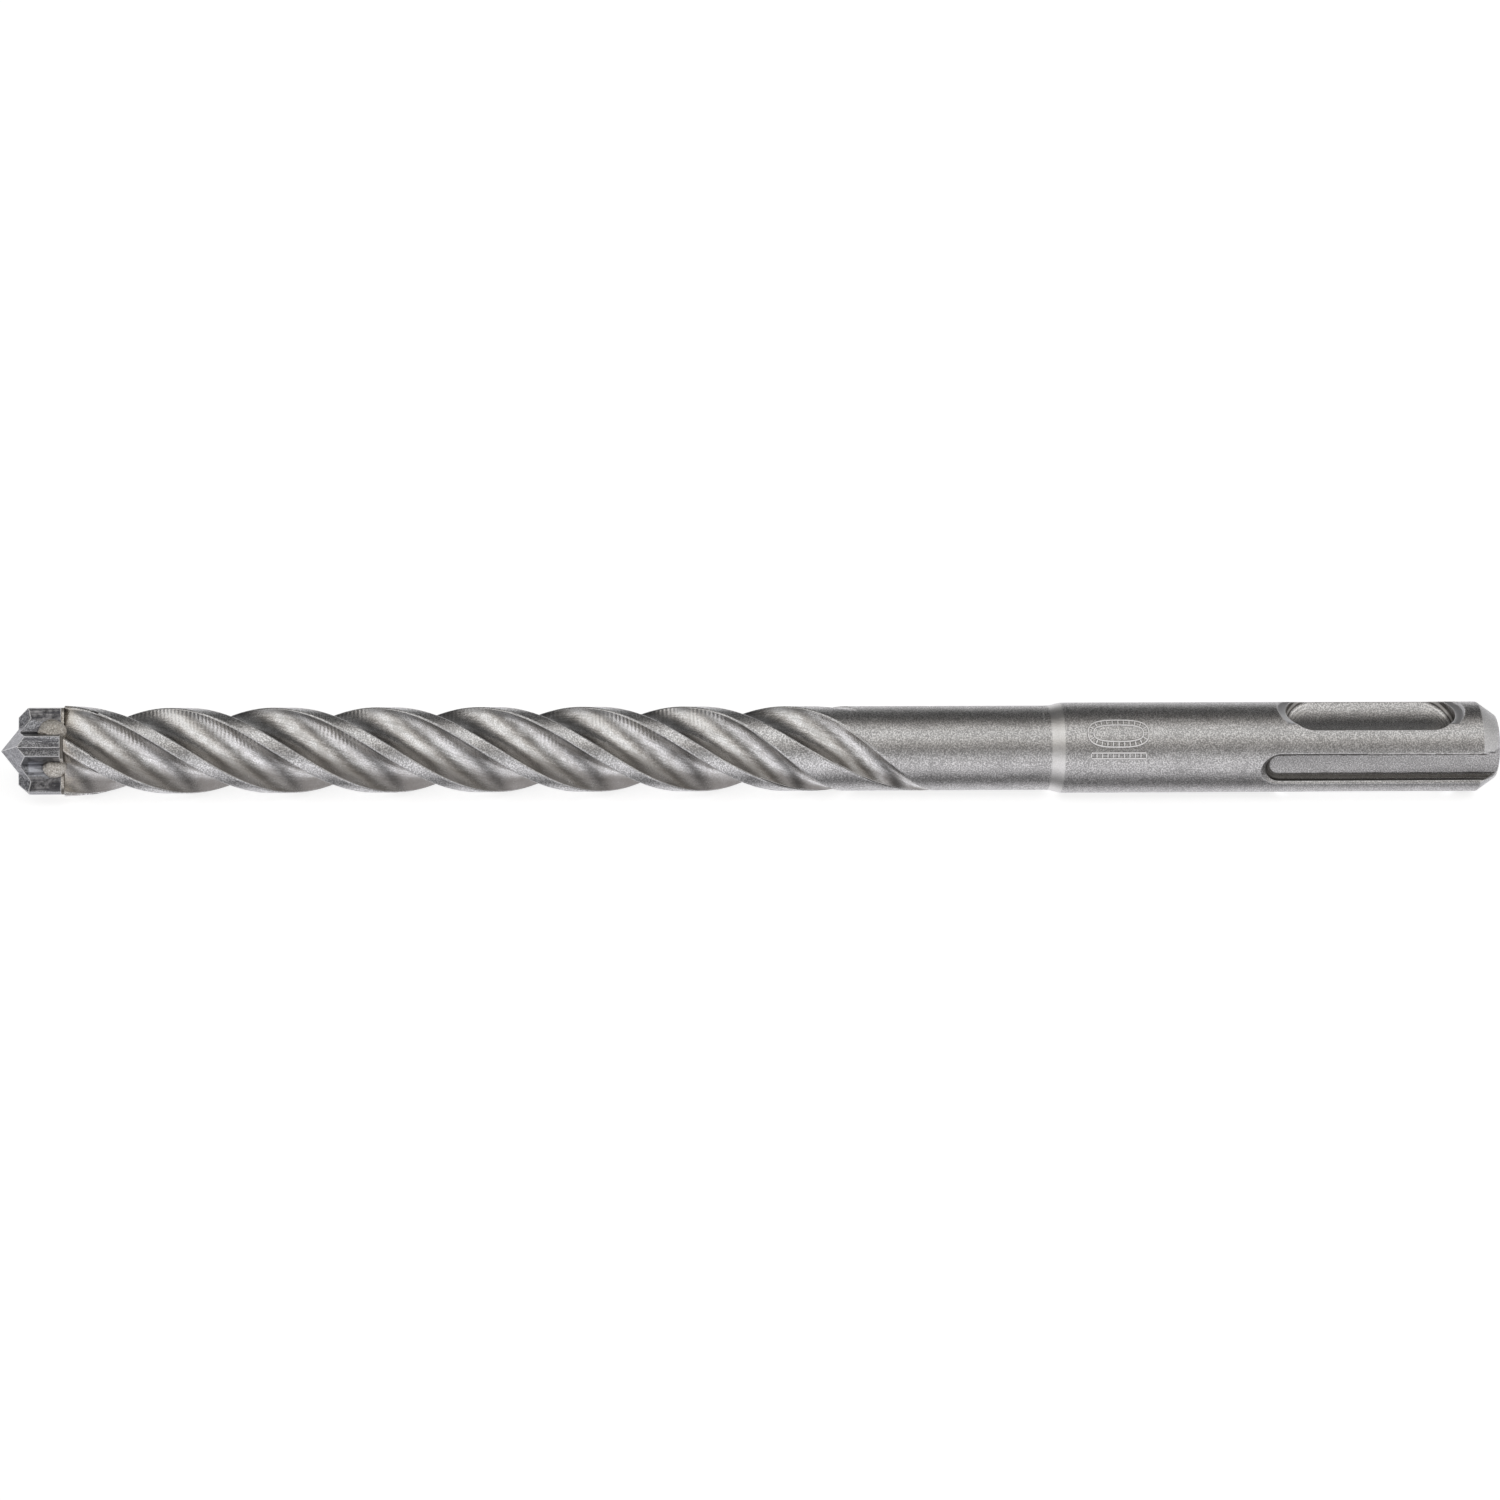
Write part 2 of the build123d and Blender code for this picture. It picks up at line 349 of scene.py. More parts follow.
def grit_group():
    """Pitted skin that grit blasting leaves: height, and light and dark specks."""
    group, given, out = new_group(
        "grit_blast",
        [("Position", "NodeSocketVector", None), ("Grain Size", "NodeSocketFloat", 0.2 * mm)],
        [("Height", "NodeSocketFloat"), ("Speck", "NodeSocketFloat")],
    )
    fineness = math(group, "DIVIDE", 1.0, given["Grain Size"])
    fine = clouds(group, given["Position"], fineness, 3.0, 0.6)
    pits = node(group, "ShaderNodeTexVoronoi", {
        "Vector": given["Position"], "Scale": times(group, fineness, 0.8),
    }).outputs["Distance"]
    broad = clouds(group, given["Position"], times(group, fineness, 0.08), 2.0)
    group.links.new(math(group, "MULTIPLY_ADD", pits, 0.5, fine), out["Height"])
    speck = math(group, "MULTIPLY_ADD", broad, 0.11, fine)
    group.links.new(ramp(group, speck, 0.44, 0.72), out["Speck"])
    return group


def edge_highlight_and_hollow_shade_group():
    """Masks for painted highlights along edges and painted shade in hollows, and the rounded
    normal.
    """
    group, given, out = new_group(
        "edge_highlight_and_hollow_shade",
        [("Radius", "NodeSocketFloat", 0.1 * mm), ("Hollow Reach", "NodeSocketFloat", 1.0 * mm)],
        [("Mask", "NodeSocketFloat"), ("Hollow", "NodeSocketFloat"),
         ("Rounded Normal", "NodeSocketVector")],
    )
    open_side = node(group, "ShaderNodeAmbientOcclusion", {
        "Distance": given["Hollow Reach"],
    }, samples=6).outputs["AO"]
    group.links.new(ramp(group, open_side, 0.88, 0.52), out["Hollow"])
    rounded = node(group, "ShaderNodeBevel", {"Radius": given["Radius"]}, samples=6)
    face = node(group, "ShaderNodeNewGeometry")
    meet = node(group, "ShaderNodeVectorMath", {
        0: rounded.outputs["Normal"], 1: face.outputs["Normal"],
    }, operation="DOT_PRODUCT")
    turned_away = minus(group, 1.0, meet.outputs["Value"])
    standing_out = ramp(group, open_side, 0.84, 0.95)
    bent = ramp(group, turned_away, 0.003, 0.03)
    group.links.new(times(group, bent, standing_out), out["Mask"])
    group.links.new(rounded.outputs["Normal"], out["Rounded Normal"])
    return group


grit = grit_group()
edge_highlight_and_hollow_shade = edge_highlight_and_hollow_shade_group()


def grit_and_edge_light(tree, place, grain, radius, reach):
    """Outputs of both groups: the blasted skin, and the painted highlights on its edges and painted
    shade in its hollows.
    """
    skin = node(tree, "ShaderNodeGroup", {"Position": place, "Grain Size": grain}, node_tree=grit)
    edge = node(tree, "ShaderNodeGroup", {
        "Radius": radius, "Hollow Reach": reach,
    }, node_tree=edge_highlight_and_hollow_shade)
    return skin.outputs, edge.outputs


def stored(tree, name):
    """Value that the mesh carries under a name."""
    return node(tree, "ShaderNodeAttribute", attribute_name=name).outputs["Fac"]


def emboss(tree, shader, height, distance, strength=0.7, normal=None):
    """Bump the shader's normal with a height."""
    feeds = {"Height": height, "Strength": strength, "Distance": distance}
    if normal is not None:
        feeds["Normal"] = normal
    bump = node(tree, "ShaderNodeBump", feeds)
    tree.links.new(bump.outputs["Normal"], shader.inputs["Normal"])


def cover(tree, colour, mask, share, over):
    """Lay another colour over one, by a mask and a share of it."""
    return mix_colour(tree, times(tree, mask, share), colour, over)


def new_material(name):
    """Fresh material with its Principled BSDF and object coordinates."""
    material = bpy.data.materials.new(name)
    material.use_nodes = True
    tree = material.node_tree
    shader = tree.nodes["Principled BSDF"]
    place = node(tree, "ShaderNodeTexCoord").outputs["Object"]
    return material, tree, shader, place


def hypotenuse(tree, first, second):
    return math(tree, "SQRT", plus(tree, square(tree, first), square(tree, second)))


def from_axis(tree, place):
    """Distance of each point from the bit's axis."""
    parts = parts_of(tree, place)
    return hypotenuse(tree, minus(tree, parts["Z"], axis_height), parts["Y"])


shank_radius = 5.0 * mm
pocket_length = 19.0 * mm
pocket_middle = shank_end - 4.85 * mm - pocket_length / 2
pocket_end_radius = 3.3 * mm
pocket_straight = pocket_length / 2 - pocket_end_radius     # half of the straight part


def from_end_centre(tree, parts):
    """Distance of each point, seen from above, from the centre of a pocket's end arc."""
    beyond = math(tree, "ABSOLUTE", minus(tree, parts["X"], pocket_middle))
    beyond = math(tree, "MAXIMUM", minus(tree, beyond, pocket_straight), 0.0)
    return hypotenuse(tree, beyond, parts["Y"])


groove_length = 26.4 * mm
groove_half = 1.7 * mm
groove_floor = 3.6 * mm
groove_rim = sqrt(shank_radius**2 - groove_half**2)


def from_groove_line(tree, parts):
    """Distance of each point, seen from the side, from a drive groove's middle line."""
    inner_end = shank_end - groove_length + groove_half
    short_of = math(tree, "MAXIMUM", minus(tree, inner_end, parts["X"]), 0.0)
    return hypotenuse(tree, short_of, minus(tree, parts["Z"], axis_height))


def steel_material():
    """Blasted steel: grit on the lands and shank, milled sheen in the flutes."""
    material, tree, shader, place = new_material("blasted_tool_steel")
    parts = parts_of(tree, place)
    along = parts["X"]

    # Turned back by the helix, the flutes run straight along x
    twist = times(tree, along, -2 * pi / lead)
    straight = node(tree, "ShaderNodeVectorRotate", {
        "Vector": place, "Center": (0, 0, axis_height), "Axis": (1, 0, 0), "Angle": twist,
    }, rotation_type="AXIS_ANGLE").outputs["Vector"]
    drawn_out = vector(tree, "MULTIPLY", straight, (0.07, 1.0, 1.0))
    scratches = clouds(tree, drawn_out, 3400.0, 3.0, 0.6)
    mottle = clouds(tree, straight, 700.0, 4.0, 0.7)
    smudge = clouds(tree, straight, 160.0, 2.0)

    in_flute = stored(tree, "in_flute")
    flute_side = stored(tree, "flute_side")
    from_ring = math(tree, "ABSOLUTE", minus(tree, along, ring_centre))
    on_ring = ramp(tree, from_ring, ring_width / 2 + 0.12 * mm, ring_width / 2 - 0.12 * mm)

    # A milling cutter left short ribs across the flutes in places
    chatter = node(tree, "ShaderNodeTexWave", {
        "Vector": straight, "Scale": 760.0, "Distortion": 1.0, "Detail": 1.0,
    }, wave_type="BANDS", bands_direction="X").outputs["Fac"]
    chatter_here = times(tree, ramp(tree, flute_side, -0.15, -0.5), ramp(tree, smudge, 0.48, 0.6))

    skin, edge = grit_and_edge_light(tree, place, 0.15 * mm, 0.14 * mm, 0.9 * mm)

    dull = mix_colour(tree, skin["Speck"], (0.34, 0.335, 0.331), (0.80, 0.79, 0.78))
    rubbed = mix_colour(tree, skin["Speck"], (0.40, 0.397, 0.394), (0.96, 0.955, 0.95))
    between_flutes = ramp(tree, along, tip_x + 100 * mm, tip_x + 84 * mm)
    dull = mix_colour(tree, between_flutes, dull, rubbed)
    mottled = ramp(tree, mottle, 0.36, 0.58)
    ground = mix_colour(tree, mottled, (0.70, 0.685, 0.665), (1.0, 0.995, 0.99))
    ground = cover(tree, ground, minus(tree, 1.0, skin["Speck"]), 0.5, (0.34, 0.33, 0.32))
    ground = cover(tree, ground, ramp(tree, scratches, 0.52, 0.62), 0.4, (0.34, 0.33, 0.315))

    # Painted shade: each flute is painted darker under its land, but for a stretch at the run-outs,
    # and its other wall is painted dark in patches
    before_runout = ramp(tree, along, tip_x + 90 * mm, tip_x + 86 * mm)
    past_runout = ramp(tree, along, tip_x + 94 * mm, tip_x + 98 * mm)
    painted_shade_under_land = times(tree, ramp(tree, flute_side, -0.66, -0.92),
                       math(tree, "MAXIMUM", before_runout, past_runout))
    ground = cover(tree, ground, painted_shade_under_land, 0.75, (0.21, 0.21, 0.215))
    patchy_painted_shade = times(tree, ramp(tree, flute_side, 0.0, 0.55), ramp(tree, smudge, 0.1, 0.45))
    ground = cover(tree, ground, patchy_painted_shade, 0.85, (0.20, 0.185, 0.17))

    # The raised mark is rubbed bright, and brazing tinted the front end
    colour = mix_colour(tree, in_flute, dull, ground)
    raised = stored(tree, "raised")
    colour = cover(tree, colour, raised, 0.9, (1.0, 0.99, 0.98))
    near_seam = ramp(tree, along, tip_x + 9.4 * mm, tip_x + 6.8 * mm)
    heated = times(tree, near_seam, ramp(tree, mottle, 0.35, 0.6))
    colour = cover(tree, colour, heated, 0.6, (0.66, 0.60, 0.51))
    # Painted shade darkens the hollows, but not in the flutes or near the seam
    left_unshaded = math(tree, "MAXIMUM", in_flute, near_seam)
    hollow_shade_share = math(tree, "MULTIPLY_ADD", left_unshaded, -0.9, 0.9)
    colour = cover(tree, colour, edge["Hollow"], hollow_shade_share, (0.08, 0.074, 0.068))
    colour = cover(tree, colour, on_ring, 0.75, (0.86, 0.85, 0.83))

    # The end chamfer was turned after blasting and is lighter
    groove_reach = from_groove_line(tree, parts)
    chamfer_start = shank_end - 2.14 * mm
    on_end = times(tree, ramp(tree, along, chamfer_start, chamfer_start + 0.08 * mm),
                   ramp(tree, groove_reach, groove_half, groove_half + 0.1 * mm))
    colour = cover(tree, colour, on_end, 0.55, (0.95, 0.95, 0.95))

    # Painted shade darkens the corners and walls of the drive grooves, with a ragged edge; near the
    # open end only on the lower side
    outwards = math(tree, "ABSOLUTE", parts["Y"])
    ragged = math(tree, "MULTIPLY_ADD", mottle, 0.35 * mm, groove_reach)
    before_end = ramp(tree, along, shank_end - 1.2 * mm, shank_end - 1.8 * mm)
    lower_side = ramp(tree, parts["Z"], axis_height + 0.2 * mm, axis_height - 0.2 * mm)
    painted_groove_shade = times(
        tree,
        ramp(tree, outwards, groove_rim - 0.30 * mm, groove_rim - 0.42 * mm),
        ramp(tree, outwards, groove_floor - 0.1 * mm, groove_floor - 0.05 * mm),
        ramp(tree, groove_reach, groove_half + 0.05 * mm, groove_half + 0.02 * mm),
        ramp(tree, ragged, groove_half - 0.48 * mm, groove_half - 0.32 * mm),
        math(tree, "MAXIMUM", before_end, lower_side),
    )
    colour = cover(tree, colour, painted_groove_shade, 0.9, (0.07, 0.065, 0.058))

    # The pockets' ends: bright crescents outside a dark rim, fine turned arcs inside
    end_reach = from_end_centre(tree, parts)
    off_middle = math(tree, "ABSOLUTE", minus(tree, parts["Z"], axis_height))
    below_skin = shank_radius - 0.025 * mm
    cuts_start, cuts_end = tip_x + 133 * mm, tip_x + 162.6 * mm
    cut = times(
        tree,
        ramp(tree, from_axis(tree, place), below_skin, below_skin - 0.02 * mm),
        ramp(tree, off_middle, 2.3 * mm, 2.4 * mm),
        ramp(tree, along, cuts_start, cuts_start + 1 * mm),
        ramp(tree, along, cuts_end, cuts_end - 0.1 * mm),
    )
    end_arc = pocket_end_radius
    crescent = times(tree, cut, ramp(tree, end_reach, end_arc, end_arc + 0.05 * mm))
    colour = cover(tree, colour, crescent, 0.9, (0.97, 0.97, 0.98))
    rim = times(tree, cut, ramp(tree, end_reach, end_arc - 0.38 * mm, end_arc - 0.28 * mm),
                ramp(tree, end_reach, end_arc + 0.03 * mm, end_arc - 0.02 * mm))
    colour = cover(tree, colour, rim, 0.85, (0.07, 0.065, 0.06))
    from_middle = math(tree, "ABSOLUTE", minus(tree, along, pocket_middle))
    arc_spacing = 0.34 * mm
    arcs = math(tree, "SINE", times(tree, end_reach, 2 * pi / arc_spacing))
    arcs = times(
        tree,
        ramp(tree, arcs, 0.0, 0.9),
        ramp(tree, end_reach, 1.5 * mm, 2.2 * mm),
        ramp(tree, from_middle, pocket_straight - 0.5 * mm, pocket_straight + 1 * mm),
        math(tree, "SUBTRACT", cut, crescent, clamp=True),
    )
    colour = cover(tree, colour, arcs, 0.5, (0.97, 0.95, 0.92))
    # Painted highlight along the edges
    colour = cover(tree, colour, edge["Mask"], 0.9, (0.97, 0.97, 0.97))
    ribbed = times(tree, chatter, chatter_here)
    colour = cover(tree, colour, ribbed, 0.8, (0.86, 0.85, 0.83))

    scattering = math(tree, "MAXIMUM", edge["Mask"], raised)
    metal = math(tree, "MULTIPLY_ADD", scattering, -0.75, 1.0)
    rough = math(tree, "MULTIPLY_ADD", in_flute, -0.09, 0.35)
    rough = math(tree, "MULTIPLY_ADD", edge["Mask"], 0.25, rough)
    rough = math(tree, "MULTIPLY_ADD", on_end, 0.22, rough)
    rough = math(tree, "MULTIPLY_ADD", minus(tree, mottle, 0.5), 0.15, rough)
    feed(tree, shader, {"Base Color": colour, "Metallic": metal, "Roughness": rough})

    grain = times(tree, skin["Height"], math(tree, "MULTIPLY_ADD", in_flute, -0.2, 1.0))
    relief = plus(tree, grain, times(tree, scratches, in_flute, 0.7))
    relief = math(tree, "MULTIPLY_ADD", ribbed, 0.9, relief)
    emboss(tree, shader, relief, 0.025 * mm, normal=edge["Rounded Normal"])
    return material


def highlit_rim_material():
    """Sharp rims of the lands, rubbed bright and painted lighter still as a highlight, but for a
    few dull stretches.
    """
    material, tree, shader, place = new_material("rubbed_highlit_rim")
    skin = node(tree, "ShaderNodeGroup", {
        "Position": place, "Grain Size": 0.3 * mm,
    }, node_tree=grit).outputs
    dull_stretch = ramp(tree, clouds(tree, place, 330.0, 2.0), 0.50, 0.62)
    colour = mix_colour(tree, skin["Speck"], (0.80, 0.795, 0.79), (1.0, 1.0, 1.0))
    colour = cover(tree, colour, dull_stretch, 0.6, (0.38, 0.375, 0.37))
    feed(tree, shader, {"Base Color": colour, "Metallic": 0.1, "Roughness": 0.4})
    emboss(tree, shader, skin["Height"], 0.02 * mm, strength=0.4)
    return material


ring_centre = tip_x + 115.45 * mm
ring_width = 1.45 * mm
steel = steel_material()

land_angle = radians(20)
core_radius = 2.65 * mm
half_flute = pi / 4 - land_angle / 2
edge_out, edge_side = neck_radius * cos(half_flute), neck_radius * sin(half_flute)
trough_depth = edge_out - core_radius
trough_radius = (edge_side**2 + trough_depth**2) / (2 * trough_depth)

flutes = fluted_bar_tree(rings=438, columns_a_flute=24, land_columns=8)
fluted_bar = grow("fluted_bar", flutes, {
    "Start": tip_x + 6.85 * mm,
    "End": neck_end,
    "Bar Radius": neck_radius,
    "Flare Radius": 4.95 * mm,
    "Flare Length": 5.0 * mm,
    "Axis Height": axis_height,
    "Trough Centre": core_radius + trough_radius,
    "Trough Radius": trough_radius,
    "Full Lift": neck_radius - core_radius,
    "Lead": lead,
    "First Angle": radians(139 + 45),
    "Long Fade End": tip_x + 102.2 * mm,
    "Short Fade End": tip_x + 93.4 * mm,
    "Fade Length": 15.0 * mm,
    "Fade Drift": radians(14),
    "Waviness": 0.035 * mm,
    "Finish": steel,
})
bake(fluted_bar, radians(50))
fluted_bar.data.materials.append(highlit_rim_material())
soften_edges(fluted_bar, 0.12 * mm, radians(38), edge_material=1)
bake(fluted_bar, radians(50))
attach(fluted_bar, "root")
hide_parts("steel_body")


# Slotted shank
# The rear end of the same bar, forged a little thicker than the neck. Two
# drive grooves run out at its end, and two closed pockets lie a quarter turn
# from them for the locking balls of the machine.

shank_start = tip_x + 116.7 * mm
taper_start = tip_x + 114.3 * mm
end_face_radius = 3.55 * mm
end_chamfer = 2.08 * mm
segments_round = 128


def mesh_object(name, points, faces):
    made = empty_object(name)
    made.data.from_pydata(points, [], faces)
    made.data.update()
    return made


def wall_faces(levels, count):
    """Faces between each loop of points and the next."""
    faces = []
    for level in range(levels - 1):
        for step in range(count):
            first = level * count + step
            second = level * count + (step + 1) % count
            faces.append((first, second, second + count, first + count))
    return faces


def end_faces(total, count):
    """Faces that close the first and the last loop of points."""
    return [tuple(reversed(range(count))), tuple(range(total - count, total))]


def turned_bar(name, outline):
    """Closed solid of revolution about the bit's axis from (x, radius) points."""
    points = []
    for x, radius in outline:
        for step in range(segments_round):
            angle = 2 * pi * (step + 0.5) / segments_round
            points.append((x, radius * cos(angle), axis_height + radius * sin(angle)))
    walls = wall_faces(len(outline), segments_round)
    made = mesh_object(name, points, walls + end_faces(len(points), segments_round))
    face_outwards(made)
    return made


def face_outwards(made):
    shape = bmesh.new()
    shape.from_mesh(made.data)
    bmesh.ops.remove_doubles(shape, verts=shape.verts, dist=0.001 * mm)
    bmesh.ops.recalc_face_normals(shape, faces=shape.faces)
    shape.to_mesh(made.data)
    shape.free()


def shank_outline():
    """Neck, soft taper up to the shank, straight shank and end chamfer."""
    outline = [(neck_end - 0.25 * mm, neck_radius + 0.002 * mm)]
    taper = shank_start - taper_start
    for step in range(13):
        share = step / 12
        x = taper_start + taper * (1.5 * share * (1 - share) + share**3)
        outline.append((x, neck_radius + (shank_radius - neck_radius) * (3 - 2 * share) * share**2))
    outline.append((shank_end - end_chamfer, shank_radius))
    outline.append((shank_end, end_face_radius))
    return outline


def stacked(name, loops):
    """Closed solid from a stack of like loops of points."""
    count = len(loops[0])
    points = [point for loop in loops for point in loop]
    faces = end_faces(len(points), count) + wall_faces(len(loops), count)
    made = mesh_object(name, points, faces)
    face_outwards(made)
    return made


def groove_loop(side, distance, growth):
    """Stadium outline, open towards the shank's end, across a groove."""
    arc_x = shank_end - groove_length + groove_half
    reach = groove_half + growth
    loop = [(shank_end + 1 * mm, reach), (shank_end + 1 * mm, -reach)]
    for step in range(25):
        angle = -pi / 2 - pi * step / 24
        loop.append((arc_x + reach * cos(angle), reach * sin(angle)))
    return [(x, side * distance, axis_height + across) for x, across in loop]


def groove_cutter(side):
    corner, rim_edge, above = 0.35 * mm, 0.36 * mm, 1.0 * mm
    return stacked("groove_cutter", [
        groove_loop(side, groove_floor, -corner),
        groove_loop(side, groove_floor + corner, 0),
        groove_loop(side, groove_rim - rim_edge, 0),
        groove_loop(side, groove_rim - rim_edge + above, above),
    ])


pocket_half = 2.98 * mm
pocket_floor = 2.8 * mm
pocket_depth = sqrt(shank_radius**2 - pocket_half**2) - pocket_floor
pocket_trough = (pocket_half**2 + pocket_depth**2) / (2 * pocket_depth)
ledge_floor = 4.42 * mm
ledge_length = pocket_length + 2 * mm
clear_of_shank = 6 * mm


def pocket_reach(length, across):
    """Half length of a pocket at a distance from its middle line."""
    bulge = pocket_end_radius - sqrt(pocket_end_radius**2 - pocket_half**2)
    return length / 2 - bulge + sqrt(pocket_end_radius**2 - across**2) - (pocket_end_radius - bulge)


def pocket_cutter(side):
    """Trough that rises in a round curve to its closed ends."""
    lengthwise, crosswise, rise = 64, 20, 1.0 * mm
    floor_points, lid_points, faces = [], [], []
    for step in range(lengthwise + 1):
        share = step / lengthwise * 2 - 1
        bent = 0.35 * share + 0.65 * sin(share * pi / 2)
        for column in range(crosswise + 1):
            across = pocket_half * (column / crosswise * 2 - 1)
            reach = pocket_reach(pocket_length, across)
            inset = reach * (1 - abs(bent))
            height = pocket_floor + pocket_trough - sqrt(pocket_trough**2 - across**2)
            if inset < rise:
                height += rise - sqrt(rise**2 - (rise - inset)**2)
            x, y = pocket_middle + bent * reach, side * across
            floor_points.append((x, y, axis_height + side * height))
            lid_points.append((x, y, axis_height + side * clear_of_shank))
    top = len(floor_points)
    row = crosswise + 1
    for step in range(lengthwise):
        for column in range(crosswise):
            corner = step * row + column
            quad = (corner, corner + 1, corner + row + 1, corner + row)
            faces.append(quad)
            faces.append(tuple(top + quad[index] for index in (0, 3, 2, 1)))
        for column in (0, crosswise):
            corner = step * row + column
            faces.append((corner, corner + row, top + corner + row, top + corner))
    for step in (0, lengthwise):
        for column in range(crosswise):
            corner = step * row + column
            faces.append((corner, corner + 1, top + corner + 1, top + corner))
    made = mesh_object("pocket_cutter", floor_points + lid_points, faces)
    face_outwards(made)
    return made


def ledge_cutter(side):
    """Shallow crescents beyond the pocket's ends."""
    loop = []
    for end in (1, -1):
        for step in range(21):
            across = end * pocket_half * (1 - 2 * step / 20)
            loop.append((pocket_middle + end * pocket_reach(ledge_length, across), across))
    return stacked("ledge_cutter", [
        [(x, side * across, axis_height + side * level) for x, across in loop]
        for level in (ledge_floor, clear_of_shank)
    ])


def cut_away(made, cutters):
    """Subtract each cutter in turn, then drop the cutters."""
    for cutter in cutters:
        cut = made.modifiers.new("cut", "BOOLEAN")
        cut.operation = "DIFFERENCE"
        cut.solver = "EXACT"
        cut.object = cutter
        bpy.context.view_layer.update()
        bake(made, radians(30))
        bpy.data.meshes.remove(cutter.data)


def round_normals(made):
    """Shade the uncut skin as a true cylinder, whatever faces were cut beside it."""
    mesh = made.data
    normals = [Vector(corner.vector) for corner in mesh.corner_normals]
    for face in mesh.polygons:
        for corner in face.loop_indices:
            point = mesh.vertices[mesh.loops[corner].vertex_index].co
            outward = Vector((0, point.y, point.z - axis_height))
            on_skin = abs(outward.length - shank_radius) < 0.012 * mm
            outward.normalize()
            if on_skin and face.normal.dot(outward) > 0.995:
                normals[corner] = outward
    mesh.normals_split_custom_set(normals)


slotted_shank = turned_bar("slotted_shank", shank_outline())
slotted_shank.data.materials.append(steel)
for side in (1, -1):
    cut_away(slotted_shank, [groove_cutter(side), ledge_cutter(side), pocket_cutter(side)])
soften_edges(slotted_shank, 0.05 * mm, radians(28))
bake(slotted_shank, radians(50))
round_normals(slotted_shank)
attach(slotted_shank, "root")
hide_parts("steel_body")


# Size mark
# The diameter in millimetres, rolled into the shank with a ribbed die, so
# that each stroke of the two digits is a row of short raised ribs.

mark_foot = tip_x + 125.1 * mm
mark_height = 6.1 * mm


def rib_tree():
    """Rounded ribs set across a curve that lies on the shank."""
    tree, given = geometry_tree("ribbed_stroke", {
        "Geometry": ("Geometry",),
        "Float": ("Pitch", "Rib Width", "Rib Length", "Rib Height", "Outline Radius",
                  "Axis Height"),
        "Material": ("Finish",),
    })
    line = step_on(tree, "MeshToCurve", given["Geometry"])
    spot = parts_of(tree, tree.nodes.new("GeometryNodeInputPosition").outputs[0])
    outward = joined(tree, 0.0, spot[1], minus(tree, spot[2], given["Axis Height"]))
    tangent = node(tree, "GeometryNodeInputTangent").outputs[0]
    sideways = vector(tree, "CROSS_PRODUCT", tangent, vector(tree, "NORMALIZE", outward))
    wire = node(tree, "GeometryNodeCurvePrimitiveCircle", {
        "Resolution": 8, "Radius": given["Outline Radius"],
    }).outputs[0]
    whole = node(tree, "GeometryNodeJoinGeometry")
    for side in (1.0, -1.0):
        shift = node(tree, "ShaderNodeVectorMath", {
            0: sideways, "Scale": times(tree, given["Rib Length"], side / 2),
        }, operation="SCALE").outputs[0]
        beside = step_on(tree, "SetPosition", line, Offset=shift)
        tube = step_on(tree, "CurveToMesh", beside, Profile_Curve=wire, Fill_Caps=True)
        tree.links.new(tube, whole.inputs[0])
    stops = node(tree, "GeometryNodeCurveToPoints", {
        "Curve": line, "Length": given["Pitch"],
    }, mode="LENGTH")
    rib_size = joined(tree, given["Rib Length"], given["Rib Width"], given["Rib Height"])
    ball = node(tree, "GeometryNodeMeshIcoSphere", {"Radius": 0.5, "Subdivisions": 3})
    flat = step_on(tree, "Transform", ball.outputs["Mesh"], Scale=rib_size)
    upright = node(tree, "FunctionNodeAlignRotationToVector", {"Vector": outward}, axis="Z")
    facing = node(tree, "FunctionNodeAlignRotationToVector", {
        "Rotation": upright.outputs[0], "Vector": stops.outputs["Tangent"],
    }, axis="Y", pivot_axis="Z")
    ribs = node(tree, "GeometryNodeInstanceOnPoints", {
        "Points": stops.outputs["Points"], "Instance": flat, "Rotation": facing.outputs[0],
    })
    tree.links.new(ribs.outputs[0], whole.inputs[0])
    hand_over(tree, whole.outputs[0], given["Finish"], mark="raised")
    return tree


def on_shank(along, angle_up):
    """Point on the shank's skin: distance from the mark's foot, angle over the front."""
    angle = radians(angle_up)
    return (mark_foot - along, -shank_radius * cos(angle), axis_height + shank_radius * sin(angle))


def digit_one(middle):
    """Plain upright stroke."""
    return [on_shank(mark_height * step / 24, middle) for step in range(25)]


def digit_zero(middle, half_angle):
    """Long oval, drawn as a closed line of points."""
    points = []
    for step in range(72):
        turn = 2 * pi * step / 72
        squared = abs(cos(turn)) ** 0.7 * (1 if cos(turn) > 0 else -1)
        raised = abs(sin(turn)) ** 0.7 * (1 if sin(turn) > 0 else -1)
        points.append(on_shank(mark_height / 2 * (1 + squared), middle + half_angle * raised))
    return points + points[:1]


# Degrees over the shank's front: each digit's middle, and half the zero's width
strokes = [digit_one(21.5), digit_zero(50.5, 14.5)]
points = [point for stroke in strokes for point in stroke]
edges, first = [], 0
for stroke in strokes:
    edges += [(first + step, first + step + 1) for step in range(len(stroke) - 1)]
    first += len(stroke)
size_mark = grow("size_mark", rib_tree(), {
    "Pitch": 0.6 * mm,
    "Rib Width": 0.2 * mm,
    "Rib Length": 0.62 * mm,
    "Rib Height": 0.2 * mm,
    "Outline Radius": 0.1 * mm,
    "Axis Height": axis_height,
    "Finish": steel,
})
size_mark.data.from_pydata(points, edges, [])
bake(size_mark, radians(60))
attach(size_mark, "root")


# Carbide head
# One sintered block of tungsten carbide, pressed to its cross shape and then
# ground on its cutting roofs and on the outer faces of its four cutters. The
# flanks between them keep the rough sintered skin.

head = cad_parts["carbide_head"]


